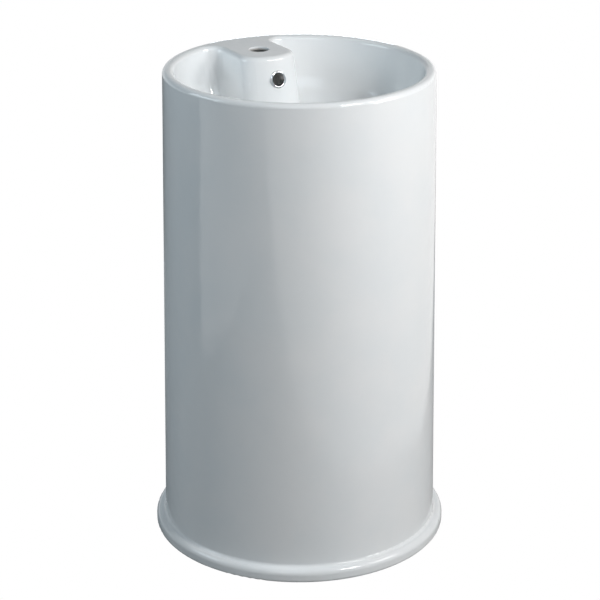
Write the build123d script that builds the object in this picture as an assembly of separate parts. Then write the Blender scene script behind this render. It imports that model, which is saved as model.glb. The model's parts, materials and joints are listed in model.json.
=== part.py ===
from build123d import *
import os
from math import asin, cos, pi, radians, sin, sqrt, tan

# Round pedestal sink. The glazed casting is made whole, then parted into bowl, tap ledge and column.
# Inside it hang the overflow ring, the click waste, the bottle trap and the floor brackets.
# Frame: millimetres, origin on the floor under the column's axis, +Z up, front -Y, tap ledge +Y.

# Casting: column and rim
TOTAL_HEIGHT = 850.0
RIM_DIAMETER = 466.0
BASE_DIAMETER = 492.0
COLUMN_WALL = 12.0
RIM_WIDTH = 18.0
RIM_OUTER_ROUND = 8.0
RIM_INNER_ROUND = 9.0
FLANGE_PROJECTION = 16.0
FLANGE_HEIGHT = 24.0
FLANGE_TOP_ROUND = 10.0
FLANGE_FOOT_ROUND = 6.0
FLANGE_FILLET = 5.0
FILLET_SHARE = 0.95

# Casting: bowl and drain
BOWL_DEPTH = 140.0
BOWL_WALL = 12.0
BOWL_SIDE_LEAN = 12.0
BOWL_FLOOR_SLOPE = 6.0
BOWL_CORNER_RADIUS = 88.0
RIM_ROOT_GAP = 4.0
DRAIN_HOLE_DIAMETER = 46.0
DRAIN_BOSS_WALL = 17.0
DRAIN_BOSS_DEPTH = 46.0
DRAIN_BOSS_ROUND = 6.0
DRAIN_SEAT_DEPTH = 4.0
DRAIN_SEAT_CLEARANCE = 1.5

# Casting: tap ledge and overflow passage
DECK_WIDTH = 104.0
DECK_FRONT = 80.0
DECK_FRONT_BULGE = 24.0
DECK_CORNER_ROUND = 34.0
DECK_DRAFT = 12.0
DECK_SIDE_DRAFT = 2.0
DECK_THICKNESS = 10.0
LEDGE_WALL = 12.0
LEDGE_FILLET = 22.0
LEDGE_BACK_RECESS = 1.0
TAP_HOLE_DIAMETER = 35.0
TAP_HOLE_SETBACK = 139.0
TAP_HOLE_ROUND = 1.5
TAP_HOLE_FLARE = 4.5
OVERFLOW_DROP = 39.0
PASSAGE_BORE = 22.0
PASSAGE_WALL = 7.0
PASSAGE_BEND = 24.0
PASSAGE_HEADROOM = 6.0
PASSAGE_OVERRUN = 11.5
PARTING_GAP = 1.0

# Casting: rear access opening
ACCESS_WIDTH = 220.0
ACCESS_BOTTOM = 140.0
ACCESS_HEADROOM = 88.5
ACCESS_CORNER = 80.0
ACCESS_EDGE_ROUND = 4.0

# Overflow ring
RING_DIAMETER = 30.0
RING_BORE = 22.0
RING_LIP = 3.4
RING_SLEEVE_WALL = 1.4
RING_SLEEVE_LENGTH = 11.0
RING_SEAT_DEPTH = 1.8
RING_LIP_ROUND = 1.6
RING_SLOTS = 4
RING_SLOT_WIDTH = 3.0
RING_SLOT_LENGTH = 8.0

# Click waste
WASTE_THREAD_DIAMETER = 41.9
WASTE_TUBE_WALL = 2.6
WASTE_THREAD_DEPTH = 0.9
WASTE_THREAD_PITCH = 2.3
WASTE_FLANGE_DIAMETER = 64.0
WASTE_FLANGE_THICKNESS = 3.0
WASTE_MOUTH_CHAMFER = 2.6
WASTE_TAIL = 46.0
WASTE_SLOT_WIDTH = 18.0
WASTE_SLOT_HEIGHT = 9.0
WASTE_HUB_DROP = 34.0
WASTE_HUB_HEIGHT = 6.0
WASTE_HUB_WALL = 3.5
WASTE_SPOKES = 3
WASTE_SPOKE_WIDTH = 4.0
TOP_SEAL_THICKNESS = 2.0
TOP_SEAL_INSET = 1.0
UNDER_SEAL_THICKNESS = 5.0
UNDER_SEAL_WIDTH = 9.5
UNDER_SEAL_TAPER = 1.7
SLIP_WASHER_THICKNESS = 1.5
BACKNUT_HEIGHT = 9.0
BACKNUT_ACROSS_FLATS = 54.0

# Plug and its clicker
PLUG_DIAMETER = 60.0
PLUG_THICKNESS = 4.0
PLUG_DOME = 1.6
PLUG_TRAVEL = 9.0
PLUG_SHUT_GAP = 1.4
PLUG_HUB_DROP = 6.0
PLUG_SEAL_WIRE = 3.6
PLUG_SEAL_BITE = 0.8
PLUG_SEAL_LIP = 1.5
STEM_DIAMETER = 9.0
STEM_SCREW_LENGTH = 5.0
CLICKER_WALL = 2.0
CLICKER_COLLAR = 3.0
CLICKER_COLLAR_WIDTH = 3.2
CLICKER_FLOOR = 3.0
CLICKER_TOP_GAP = 1.4
CLICKER_SHANK_LENGTH = 12.0
SPRING_WIRE = 0.9
SPRING_TURNS = 6
SPRING_SPACE = 21.0

# Bottle trap
PIPE_DIAMETER = 32.0
PIPE_WALL = 1.8
UNION_THREAD = 43.0
UNION_LIP = 4.0
UNION_WALL = 4.5
UNION_RIBS = 16
UNION_RIB_DEPTH = 1.4
UNION_RIB_WIDTH = 2.4
UNION_SEAL_HEIGHT = 6.0
UNION_SEAL_WALL = 2.2
UNION_NUT_REACH = 16.0
UNION_SEAL_PROUD = 1.0
INLET_SEAL_THICKNESS = 2.0
INLET_COLLAR = 2.5
INLET_NUT_REACH = 18.0
TRAP_DROP = 52.0
TRAP_NECK = 20.0
TRAP_DIAMETER = 66.0
TRAP_WALL = 3.0
TRAP_OUTLET_REACH = 34.0
TRAP_SHOULDER_WIDTH = 5.0
TRAP_SHOULDER_HEIGHT = 4.0
TRAP_SHOULDER_GAP = 1.0
CUP_SEAL_THICKNESS = 3.0
CUP_THREAD_LENGTH = 16.0
CUP_DEPTH = 86.0
CUP_BOTTOM_ROUND = 14.0
CUP_WATER_SEAL = 58.0
CUP_GRIP_HEIGHT = 26.0
PIPE_END_INSET = 4.0
PIPE_END_CHAMFER = 1.0
PIPE_MARK_SETBACK = 60.0
PIPE_MARK_WIDTH = 2.0
PIPE_MARK_DEPTH = 0.4

# Floor brackets and their side fixings
BRACKET_ANGLE = 42.0
BRACKET_WIDTH = 44.0
BRACKET_HEIGHT = 74.0
BRACKET_FOOT = 46.0
BRACKET_THICKNESS = 3.0
BRACKET_BEND_ROUND = 6.0
BRACKET_FOOT_HOLE = 8.5
FOOT_HOLE_SETBACK = 27.6
PAD_DEPTH = 12.0
PAD_MARGIN = 4.0
PAD_BOTTOM = 20.0
BOLT_HEIGHT = 58.0
BOLT_DIAMETER = 6.0
BOLT_HEAD_DIAMETER = 11.0
BOLT_HEAD_HEIGHT = 3.6
BOLT_SPARE_THREAD = 4.0
BOLT_SOCKET = 4.0
BOLT_SOCKET_DEPTH = 2.0
BOLT_NUT_HEIGHT = 5.0
BOLT_NUT_ACROSS_FLATS = 10.0
BUSH_WALL = 1.2
BUSH_COLLAR_DIAMETER = 14.0
BUSH_COLLAR_THICKNESS = 1.4
BUSH_END_GAP = 1.0
CAP_DIAMETER = 18.0
CAP_WALL = 1.4
CAP_SEAT_DEPTH = 4.5
CAP_SEAT_CLEARANCE = 0.5
CAP_ROUND = 2.2

# Fits
THREAD_CLEARANCE = 0.1
SLIDE_CLEARANCE = 0.3
SHIFT_CLEARANCE = 0.3
OVERCUT = 2.0
NEAR = 0.02

ON_BASE = (Align.CENTER, Align.CENTER, Align.MIN)


def post(diameter, low, high):
    """An upright cylinder on the axis between two heights."""
    return Pos(0, 0, low) * Cylinder(diameter / 2, high - low, align=ON_BASE)


def washer(outer, inner, low, high):
    """An upright ring on the axis between two heights, from its two diameters."""
    return post(outer, low, high) - post(inner, low - OVERCUT, high + OVERCUT)


def turned(points, rounds=()):
    """A closed outline of (radius, height) points spun round the axis, with chosen corners rounded."""
    outline = make_face(Polyline(*points, close=True))
    for corner, radius in rounds:
        spot = Vector(*points[corner], 0)
        outline = fillet(outline.vertices().sort_by_distance(spot)[0], radius)
    return revolve(Plane.XZ * outline, axis=Axis.Z)


def crossing(point_a, slope_a, point_b, slope_b):
    """Where two lines of the (radius, height) half-plane cross, each given as a point and a direction."""
    span_r = point_b[0] - point_a[0]
    span_z = point_b[1] - point_a[1]
    turn = slope_a[0] * slope_b[1] - slope_a[1] * slope_b[0]
    along = (span_r * slope_b[1] - span_z * slope_b[0]) / turn
    return point_a[0] + along * slope_a[0], point_a[1] + along * slope_a[1]


def thread_points(radius, depth, pitch, low, high):
    """Saw-tooth points down a thread's side, from the top to the bottom."""
    teeth = max(2, int((high - low) / pitch))
    step = (high - low) / teeth
    points = [(radius, high)]
    for tooth in range(teeth):
        points.append((radius - depth, high - (tooth + 0.5) * step))
        points.append((radius, high - (tooth + 1) * step))
    return points


def ribs(diameter, count, depth, width, low, high):
    """Upright grip ribs standing on a round wall."""
    rib = Box(2 * depth, width, high - low, align=ON_BASE)
    return [place * rib for place in Pos(0, 0, low) * PolarLocations(diameter / 2, count)]


def union_nut(bore, hole, lip_low, lip_high, far_end):
    """A ribbed hand nut: a lip with the pipe's hole at one end and the threaded bore to the far end."""
    outer = bore + 2 * UNION_WALL
    low = min(lip_low, far_end)
    high = max(lip_high, far_end)
    nut = post(outer, low, high)
    nut += ribs(outer, UNION_RIBS, UNION_RIB_DEPTH, UNION_RIB_WIDTH, low, high)
    nut -= post(hole, lip_low - OVERCUT, lip_high + OVERCUT)
    if far_end > lip_high:
        return nut - post(bore, lip_high, far_end + OVERCUT)
    return nut - post(bore, far_end - OVERCUT, lip_low)


# Heights and radii that several pieces share
rim_radius = RIM_DIAMETER / 2
base_radius = BASE_DIAMETER / 2
flange_radius = base_radius + FLANGE_PROJECTION
bowl_edge = rim_radius - RIM_WIDTH
floor_z = TOTAL_HEIGHT - BOWL_DEPTH
seat_z = floor_z - DRAIN_SEAT_DEPTH
seat_radius = WASTE_FLANGE_DIAMETER / 2 + DRAIN_SEAT_CLEARANCE
boss_radius = DRAIN_HOLE_DIAMETER / 2 + DRAIN_BOSS_WALL
boss_z = floor_z - DRAIN_BOSS_DEPTH
draft = tan(radians(DECK_DRAFT))
side_draft = tan(radians(DECK_SIDE_DRAFT))
lean = tan(radians(BOWL_SIDE_LEAN))
slope = tan(radians(BOWL_FLOOR_SLOPE))


def off_axis(edge):
    """Distance of an edge's middle from the column's axis."""
    middle = edge.position_at(0.5)
    return sqrt(middle.X**2 + middle.Y**2)


def column_radius(height):
    """Outer radius of the column, which widens a little toward the floor."""
    return base_radius + (rim_radius - base_radius) * height / TOTAL_HEIGHT


def ledge_front(height):
    """How far the middle of the ledge's front face lies behind the axis."""
    return DECK_FRONT - (TOTAL_HEIGHT - height) * draft


def ledge_outline(height, inset):
    """The tap ledge seen from above at one height, drawn in by a wall thickness where it is a hollow."""
    half = DECK_WIDTH / 2 + (TOTAL_HEIGHT - height) * side_draft - inset
    front = ledge_front(height) + inset
    shoulder = front + DECK_FRONT_BULGE
    back = rim_radius + BASE_DIAMETER
    outline = make_face(
        [
            Line((-half, back), (-half, shoulder)),
            ThreePointArc((-half, shoulder), (0, front), (half, shoulder)),
            Line((half, shoulder), (half, back)),
            Line((half, back), (-half, back)),
        ]
    )
    corners = outline.vertices().sort_by(Axis.Y)[:2]
    return Pos(0, 0, height) * fillet(corners, DECK_CORNER_ROUND)


def ledge_block(top, bottom, inset):
    """The ledge between two heights, flaring as it goes down."""
    return loft([ledge_outline(top, inset), ledge_outline(bottom, inset)], ruled=True)


# Overflow: the hole square to the ledge's front face and the passage behind that face to the drain
overflow_z = TOTAL_HEIGHT - OVERFLOW_DROP
lean_back = radians(DECK_DRAFT)
ring_place = Plane(
    origin=(0, ledge_front(overflow_z), overflow_z),
    x_dir=(1, 0, 0),
    z_dir=(0, -cos(lean_back), sin(lean_back)),
)
passage_z = (boss_z + seat_z) / 2


def passage_behind(height):
    """Distance of the passage's line behind the axis at one height."""
    return ledge_front(height) + LEDGE_WALL / cos(lean_back) + PASSAGE_BORE / 2


def passage_tube(radius, headroom):
    """A round tube down the back of the ledge's face and forward into the drain boss."""
    start = overflow_z + headroom
    points = [
        (0, passage_behind(start), start),
        (0, passage_behind(passage_z), passage_z),
        (0, DRAIN_HOLE_DIAMETER / 2 - PASSAGE_OVERRUN, passage_z),
    ]
    path = FilletPolyline(*points, radius=PASSAGE_BEND)
    return sweep(path.location_at(0) * Circle(radius), path=path)


# Side fixings: a frame on each bolt whose Z runs outward from the column's axis and whose Y is up
def fixing_place(side):
    """The frame of the left (-1) or the right (1) fixing, at the axis and at the bolt's height."""
    turn = radians(side * BRACKET_ANGLE)
    return Plane(
        origin=(0, 0, BOLT_HEIGHT),
        x_dir=(-cos(turn), sin(turn), 0),
        z_dir=(sin(turn), cos(turn), 0),
    )


def both_sides(piece):
    """Two equal pieces, one at each fixing."""
    return [fixing_place(side) * piece for side in (-1, 1)]


def bar(diameter, near, far):
    """A cylinder on a fixing's frame between two distances from the column's axis."""
    return Pos(0, 0, near) * Cylinder(diameter / 2, far - near, align=ON_BASE)


pad_face = base_radius - COLUMN_WALL - PAD_DEPTH
cap_seat = column_radius(BOLT_HEIGHT) - CAP_SEAT_DEPTH
bush_diameter = BOLT_DIAMETER + 2 * SLIDE_CLEARANCE + 2 * BUSH_WALL
bush_hole = bush_diameter + 2 * SHIFT_CLEARANCE


def column_solid():
    """The casting's outer form without any hollow."""
    meet = column_radius(FLANGE_HEIGHT)
    points = [
        (0, 0),
        (flange_radius, 0),
        (flange_radius, FLANGE_HEIGHT),
        (meet, FLANGE_HEIGHT),
        (rim_radius, TOTAL_HEIGHT),
        (0, TOTAL_HEIGHT),
    ]
    ledge = (flange_radius - meet - FLANGE_TOP_ROUND) * FILLET_SHARE
    rounds = [(1, FLANGE_FOOT_ROUND), (2, FLANGE_TOP_ROUND), (3, min(FLANGE_FILLET, ledge))]
    return turned(points, rounds)


def bowl_corner():
    """Where the bowl's side and floor would cross without their rounding."""
    return crossing((bowl_edge, TOTAL_HEIGHT), (-lean, -1), (seat_radius, floor_z), (1, slope))


def bowl_space():
    """The water's space: the round bowl less the tap ledge, with a soft valley where they meet."""
    top = TOTAL_HEIGHT + OVERCUT
    points = [
        (0, top),
        (bowl_edge + OVERCUT * lean, top),
        bowl_corner(),
        (seat_radius, floor_z),
        (seat_radius, seat_z),
        (0, seat_z),
    ]
    bowl = turned(points, [(2, BOWL_CORNER_RADIUS)])
    space = bowl - ledge_block(top, boss_z, 0)
    valley = []
    for edge in space.edges():
        middle = edge.position_at(0.5)
        on_bowl = min(face.distance_to(middle) for face in bowl.faces()) < NEAR
        if on_bowl and middle.Y > NEAR and floor_z + NEAR < middle.Z < TOTAL_HEIGHT:
            valley.append(edge)
    return fillet(valley, LEDGE_FILLET)


def inner_space():
    """The room inside the column: under the bowl, round the drain boss and up behind the ledge."""
    down = BOWL_WALL / cos(radians(BOWL_FLOOR_SLOPE))
    out = BOWL_WALL / cos(radians(BOWL_SIDE_LEAN))
    side_point = (bowl_edge + out, TOTAL_HEIGHT)
    floor_point = (seat_radius, floor_z - down)
    under = crossing(side_point, (-lean, -1), floor_point, (1, slope))
    widening = (base_radius - rim_radius) / TOTAL_HEIGHT
    inner_foot = base_radius - COLUMN_WALL
    join = crossing(side_point, (-lean, -1), (inner_foot, 0), (-widening, 1))
    drop = RIM_ROOT_GAP / (lean + widening)
    root_z = join[1] - drop
    boss_top = floor_z - down + (boss_radius - seat_radius) * slope
    points = [
        (0, -OVERCUT),
        (inner_foot, -OVERCUT),
        (inner_foot, 0),
        (join[0] + drop * widening, root_z),
        (join[0] - drop * lean, root_z),
        under,
        (boss_radius, boss_top),
        (boss_radius, boss_z),
        (0, boss_z),
    ]
    half_turn = radians(90 - BOWL_SIDE_LEAN - BOWL_FLOOR_SLOPE) / 2
    longest = (root_z - under[1]) * FILLET_SHARE / tan(half_turn)
    rounds = [(5, min(BOWL_CORNER_RADIUS + BOWL_WALL, longest)), (6, DRAIN_BOSS_ROUND)]
    room = turned(points, rounds)
    wall = COLUMN_WALL - LEDGE_BACK_RECESS
    core = [(0, boss_z), (column_radius(boss_z) - wall, boss_z)]
    core += [(rim_radius - wall, TOTAL_HEIGHT), (0, TOTAL_HEIGHT)]
    behind = ledge_block(TOTAL_HEIGHT - DECK_THICKNESS, boss_z, LEDGE_WALL) & turned(core)
    return room + behind


def casting():
    """Column, foot flange, rim, bowl, tap ledge, overflow passage and openings in one."""
    passage = passage_tube(PASSAGE_BORE / 2 + PASSAGE_WALL, PASSAGE_HEADROOM + PASSAGE_WALL)
    pad_size = (BRACKET_WIDTH + 2 * PAD_MARGIN, BRACKET_HEIGHT + PAD_MARGIN - PAD_BOTTOM)
    pad_middle = (BRACKET_HEIGHT + PAD_MARGIN + PAD_BOTTOM) / 2 - BOLT_HEIGHT
    pad = Pos(0, pad_middle, pad_face) * Box(*pad_size, PAD_DEPTH + COLUMN_WALL, align=ON_BASE)
    room = inner_space() - passage - both_sides(pad)
    body = column_solid() - bowl_space() - room
    body -= post(DRAIN_HOLE_DIAMETER, boss_z - OVERCUT, floor_z)
    body -= passage_tube(PASSAGE_BORE / 2, PASSAGE_HEADROOM)
    body = fillet(rim_edges(body, rim_radius), RIM_OUTER_ROUND)
    body = fillet(bowl_edges(body), RIM_INNER_ROUND)
    tap = post(TAP_HOLE_DIAMETER, floor_z, TOTAL_HEIGHT + OVERCUT)
    tap_radius = TAP_HOLE_DIAMETER / 2
    flare = Cone(tap_radius + TAP_HOLE_FLARE, tap_radius, TAP_HOLE_FLARE, align=ON_BASE)
    tap += Pos(0, 0, TOTAL_HEIGHT - DECK_THICKNESS) * flare
    body -= Pos(0, TAP_HOLE_SETBACK, 0) * tap
    body = fillet(tap_edge(body), TAP_HOLE_ROUND)
    body -= ring_place * Pos(0, 0, -RING_SEAT_DEPTH) * Cylinder(
        RING_DIAMETER / 2 + SHIFT_CLEARANCE, RING_SEAT_DEPTH + RING_LIP, align=ON_BASE
    )
    sleeve_hole = RING_BORE / 2 + RING_SLEEVE_WALL + SHIFT_CLEARANCE
    hole_depth = LEDGE_WALL + PASSAGE_BORE / 2
    body -= ring_place * Pos(0, 0, -hole_depth) * Cylinder(sleeve_hole, hole_depth, align=ON_BASE)
    window = Plane.XZ * Pos(0, (ACCESS_BOTTOM + access_top) / 2) * RectangleRounded(
        ACCESS_WIDTH, access_top - ACCESS_BOTTOM, ACCESS_CORNER
    )
    body -= Pos(0, base_radius / 2, 0) * extrude(window, -base_radius)
    body = fillet(access_edges(body), ACCESS_EDGE_ROUND)
    for side in (-1, 1):
        place = fixing_place(side)
        body -= place * bar(bush_hole, pad_face - OVERCUT, base_radius)
        body -= place * bar(CAP_DIAMETER + 2 * CAP_SEAT_CLEARANCE, cap_seat, flange_radius)
    return body


def basin_core():
    """The space inside the column's wall from the drain boss up, which holds bowl and ledge."""
    return post(RIM_DIAMETER - 2 * COLUMN_WALL, boss_z - OVERCUT, TOTAL_HEIGHT + OVERCUT)


def ledge_side():
    """All the space behind the drain boss, which holds the tap ledge."""
    setback = boss_radius + DRAIN_BOSS_ROUND + PARTING_GAP
    size = (2 * RIM_DIAMETER, RIM_DIAMETER, TOTAL_HEIGHT + OVERCUT)
    return Pos(0, setback, 0) * Box(*size, align=(Align.CENTER, Align.MIN, Align.MIN))


def top_edges(body):
    """The edges that lie in the top plane."""
    return body.edges().filter_by_position(Axis.Z, TOTAL_HEIGHT - NEAR, TOTAL_HEIGHT + NEAR)


def rim_edges(body, radius):
    """The edge round the outside of the rim."""
    found = top_edges(body)
    return [edge for edge in found if abs(off_axis(edge) - radius) < NEAR]


def bowl_edges(body):
    """The edge round the bowl's mouth and along the deck."""
    limit = rim_radius - RIM_OUTER_ROUND - NEAR
    return [edge for edge in top_edges(body) if off_axis(edge) < limit]


def tap_edge(body):
    """The upper edge of the tap hole."""
    found = top_edges(body).filter_by(GeomType.CIRCLE)
    return [edge for edge in found if abs(edge.radius - TAP_HOLE_DIAMETER / 2) < NEAR]


def access_edges(body):
    """The outer edge of the rear opening."""
    picked = []
    for edge in body.edges():
        middle = edge.position_at(0.5)
        outside = abs(off_axis(edge) - column_radius(middle.Z)) < NEAR
        across = abs(middle.X) < ACCESS_WIDTH / 2 + NEAR
        upright = ACCESS_BOTTOM - NEAR < middle.Z < access_top + NEAR
        if outside and across and upright and middle.Y > 0:
            picked.append(edge)
    return picked


# Waste, plug and clicker levels, from the drain seat down
flange_under = seat_z + TOP_SEAL_THICKNESS
flange_top = flange_under + WASTE_FLANGE_THICKNESS
tail_z = boss_z - WASTE_TAIL
thread_radius = WASTE_THREAD_DIAMETER / 2
thread_bore = WASTE_THREAD_DIAMETER + 2 * THREAD_CLEARANCE
waste_bore = thread_radius - WASTE_TUBE_WALL
washer_z = boss_z - UNDER_SEAL_THICKNESS
backnut_z = washer_z - SLIP_WASHER_THICKNESS
plug_under = flange_top + PLUG_SHUT_GAP + PLUG_TRAVEL
hub_radius = waste_bore + PLUG_SEAL_BITE - PLUG_SEAL_WIRE
hub_bottom = plug_under - PLUG_HUB_DROP
stem_top = hub_bottom + STEM_SCREW_LENGTH
spider_top = flange_top - WASTE_HUB_DROP
barrel_bore = STEM_DIAMETER + 2 * SLIDE_CLEARANCE
barrel_diameter = barrel_bore + 2 * CLICKER_WALL
barrel_top = hub_bottom - PLUG_TRAVEL - CLICKER_TOP_GAP
barrel_floor = spider_top - CLICKER_SHANK_LENGTH + CLICKER_FLOOR
stem_foot = barrel_floor + SPRING_SPACE


def overflow_ring():
    """The plated ring of the overflow hole: a rounded lip and a slotted sleeve that grips the hole."""
    bore = RING_BORE / 2
    lip = [(bore, 0), (RING_DIAMETER / 2, 0), (RING_DIAMETER / 2, RING_LIP), (bore, RING_LIP)]
    ring = turned(lip, [(2, RING_LIP_ROUND), (3, RING_LIP_ROUND)])
    ring += washer(RING_BORE + 2 * RING_SLEEVE_WALL, RING_BORE, -RING_SLEEVE_LENGTH, 0)
    slot = Pos(0, 0, -RING_SLEEVE_LENGTH) * Box(
        RING_DIAMETER, RING_SLOT_WIDTH, 2 * RING_SLOT_LENGTH, align=(Align.MIN, Align.CENTER, Align.CENTER)
    )
    for number in range(RING_SLOTS):
        ring -= Rot(0, 0, (number + 0.5) * 360 / RING_SLOTS) * slot
    return ring_place * Pos(0, 0, -RING_SEAT_DEPTH) * ring


def waste_body():
    """The waste: flange, threaded tube with two overflow slots and a spider that carries the clicker."""
    points = [
        (waste_bore + WASTE_MOUTH_CHAMFER, flange_top),
        (WASTE_FLANGE_DIAMETER / 2, flange_top),
        (WASTE_FLANGE_DIAMETER / 2, flange_under),
        (thread_radius, flange_under),
    ]
    points += thread_points(thread_radius, WASTE_THREAD_DEPTH, WASTE_THREAD_PITCH, tail_z, boss_z)
    points += [(waste_bore, tail_z), (waste_bore, flange_top - WASTE_MOUTH_CHAMFER)]
    body = turned(points, [(1, WASTE_FLANGE_THICKNESS / 2)])
    slots = Box(WASTE_SLOT_WIDTH, WASTE_FLANGE_DIAMETER, WASTE_SLOT_HEIGHT)
    body -= Pos(0, 0, passage_z) * slots
    spider_low = spider_top - WASTE_HUB_HEIGHT
    hole = barrel_diameter + 2 * THREAD_CLEARANCE
    spokes = Box(
        (waste_bore + thread_radius - WASTE_THREAD_DEPTH) / 2,
        WASTE_SPOKE_WIDTH,
        WASTE_HUB_HEIGHT,
        align=(Align.MIN, Align.CENTER, Align.MIN),
    )
    spider = post(hole + 2 * WASTE_HUB_WALL, spider_low, spider_top)
    for number in range(WASTE_SPOKES):
        spider += Pos(0, 0, spider_low) * Rot(0, 0, 90 + number * 360 / WASTE_SPOKES) * spokes
    spider -= post(hole, spider_low - OVERCUT, spider_top + OVERCUT)
    return body + spider


def waste_top_seal():
    """The soft ring between the waste's flange and the drain seat."""
    return washer(WASTE_FLANGE_DIAMETER - 2 * TOP_SEAL_INSET, thread_bore, seat_z, flange_under)


def waste_under_seal():
    """The tapered rubber ring pressed up against the drain boss."""
    inner = thread_bore / 2
    outer = inner + UNDER_SEAL_WIDTH
    points = [
        (inner, washer_z),
        (outer, washer_z),
        (outer - UNDER_SEAL_TAPER, boss_z),
        (inner, boss_z),
    ]
    return turned(points)


def waste_slip_washer():
    """The flat ring on which the backnut turns."""
    return washer(thread_bore + 2 * UNDER_SEAL_WIDTH, thread_bore, backnut_z, washer_z)


def waste_backnut():
    """The hexagon nut that clamps the waste to the casting."""
    low = backnut_z - BACKNUT_HEIGHT
    hexagon = RegularPolygon(BACKNUT_ACROSS_FLATS / 2, 6, major_radius=False)
    nut = extrude(Pos(0, 0, low) * hexagon, BACKNUT_HEIGHT)
    return nut - post(thread_bore, low - OVERCUT, backnut_z + OVERCUT)


def plug_seal_ring():
    """Radius and height of the seal ring's middle line, clear of the waste's mouth when shut."""
    radius = hub_radius + PLUG_SEAL_WIRE / 2
    reach = PLUG_SEAL_WIRE / 2 + SLIDE_CLEARANCE
    height = flange_top - WASTE_MOUTH_CHAMFER + radius - waste_bore + sqrt(2) * reach + PLUG_TRAVEL
    return radius, height


def plug_cap():
    """The plug's domed disc and hub, with a groove for the seal and a threaded socket for the stem."""
    radius = PLUG_DIAMETER / 2
    top = plug_under + PLUG_THICKNESS
    ring_z = plug_seal_ring()[1]
    groove = hub_radius - THREAD_CLEARANCE
    lip_top = ring_z - PLUG_SEAL_WIRE / 2 - THREAD_CLEARANCE
    sphere = (radius**2 + PLUG_DOME**2) / (2 * PLUG_DOME)
    half_way = asin(radius / sphere) / 2
    dome_middle = (sphere * sin(half_way), top - sphere + sphere * cos(half_way))
    outline = make_face(
        [
            Line((0, hub_bottom), (groove + PLUG_SEAL_LIP, hub_bottom)),
            Line((groove + PLUG_SEAL_LIP, hub_bottom), (groove + PLUG_SEAL_LIP, lip_top)),
            Line((groove + PLUG_SEAL_LIP, lip_top), (groove, lip_top)),
            Line((groove, lip_top), (groove, plug_under)),
            Line((groove, plug_under), (radius, plug_under)),
            Line((radius, plug_under), (radius, top - PLUG_DOME)),
            ThreePointArc((radius, top - PLUG_DOME), dome_middle, (0, top)),
            Line((0, top), (0, hub_bottom)),
        ]
    )
    cap = revolve(Plane.XZ * outline, axis=Axis.Z)
    return cap - post(STEM_DIAMETER + 2 * THREAD_CLEARANCE, hub_bottom - OVERCUT, stem_top)


def plug_seal():
    """The rubber ring under the plug."""
    radius, height = plug_seal_ring()
    return Pos(0, 0, height) * Torus(radius, PLUG_SEAL_WIRE / 2)


def plug_stem():
    """The stem that screws into the plug and slides in the clicker's barrel."""
    return post(STEM_DIAMETER, stem_foot, stem_top)


def clicker_housing():
    """The barrel that screws into the waste's spider and holds the spring."""
    low = barrel_floor - CLICKER_FLOOR
    barrel = post(barrel_diameter, low, barrel_top)
    barrel += post(barrel_diameter + 2 * CLICKER_COLLAR_WIDTH, spider_top, spider_top + CLICKER_COLLAR)
    return barrel - post(barrel_bore, barrel_floor, barrel_top + OVERCUT)


def clicker_spring():
    """The coil under the stem, drawn as pairs of tangent arcs that follow a helix."""
    radius = barrel_bore / 2 - SLIDE_CLEARANCE - SPRING_WIRE / 2
    low = barrel_floor + THREAD_CLEARANCE + SPRING_WIRE / 2
    high = stem_foot - THREAD_CLEARANCE - SPRING_WIRE / 2
    rise = (high - low) / (2 * pi * SPRING_TURNS)
    arcs = []
    for quarter in range(4 * SPRING_TURNS):
        start_turn = quarter * pi / 2
        end_turn = start_turn + pi / 2
        start = Vector(radius * cos(start_turn), radius * sin(start_turn), low + rise * start_turn)
        end = Vector(radius * cos(end_turn), radius * sin(end_turn), low + rise * end_turn)
        leave = Vector(-radius * sin(start_turn), radius * cos(start_turn), rise).normalized()
        arrive = Vector(-radius * sin(end_turn), radius * cos(end_turn), rise).normalized()
        span = end - start
        both = leave + arrive
        square = both.dot(both) - 4
        along = span.dot(both)
        reach = (along - sqrt(along**2 - square * span.dot(span))) / square
        first = start + leave * reach
        second = end - arrive * reach
        middle = (first + second) / 2
        arcs.append(TangentArc(start, middle, tangent=leave))
        arcs.append(TangentArc(middle, end, tangent=(second - first).normalized()))
    path = Wire(arcs)
    gap = 2 * pi * rise - SPRING_WIRE
    print("clicker spring: gap between curls", round(gap, 2), "mm")
    return sweep(Plane(path @ 0, z_dir=path % 0) * Circle(SPRING_WIRE / 2), path=path)


# Trap levels, from the waste's tail down
pipe_hole = PIPE_DIAMETER + 2 * SLIDE_CLEARANCE
pipe_bore = PIPE_DIAMETER - 2 * PIPE_WALL
collar_top = tail_z - INLET_SEAL_THICKNESS
collar_low = collar_top - INLET_COLLAR
neck_top = tail_z - TRAP_DROP
head_top = neck_top - TRAP_NECK
outlet_z = head_top - UNION_THREAD / 2 - TRAP_WALL
access_top = outlet_z + ACCESS_HEADROOM
shoulder_top = outlet_z - UNION_THREAD / 2 - TRAP_SHOULDER_GAP
shoulder_low = shoulder_top - TRAP_SHOULDER_HEIGHT
cup_top = shoulder_low - CUP_SEAL_THICKNESS
cup_bottom = cup_top - CUP_DEPTH
head_bottom = cup_top - CUP_THREAD_LENGTH
dip_z = outlet_z - pipe_bore / 2 - CUP_WATER_SEAL
shoulder_diameter = TRAP_DIAMETER + 2 * TRAP_SHOULDER_WIDTH
outlet_end = TRAP_DIAMETER / 2 + TRAP_OUTLET_REACH
seal_seat = UNION_THREAD - 2 * UNION_SEAL_WALL
seal_depth = UNION_SEAL_HEIGHT - UNION_SEAL_PROUD
outlet_place = Plane(origin=(0, 0, outlet_z), x_dir=(1, 0, 0), z_dir=(0, 1, 0))


def slip_nut(mouth):
    """The nut of a slip union whose threaded socket ends at one height."""
    lip_low = mouth + UNION_SEAL_PROUD
    bore = UNION_THREAD + 2 * THREAD_CLEARANCE
    return union_nut(bore, pipe_hole, lip_low, lip_low + UNION_LIP, mouth - UNION_NUT_REACH)


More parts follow.
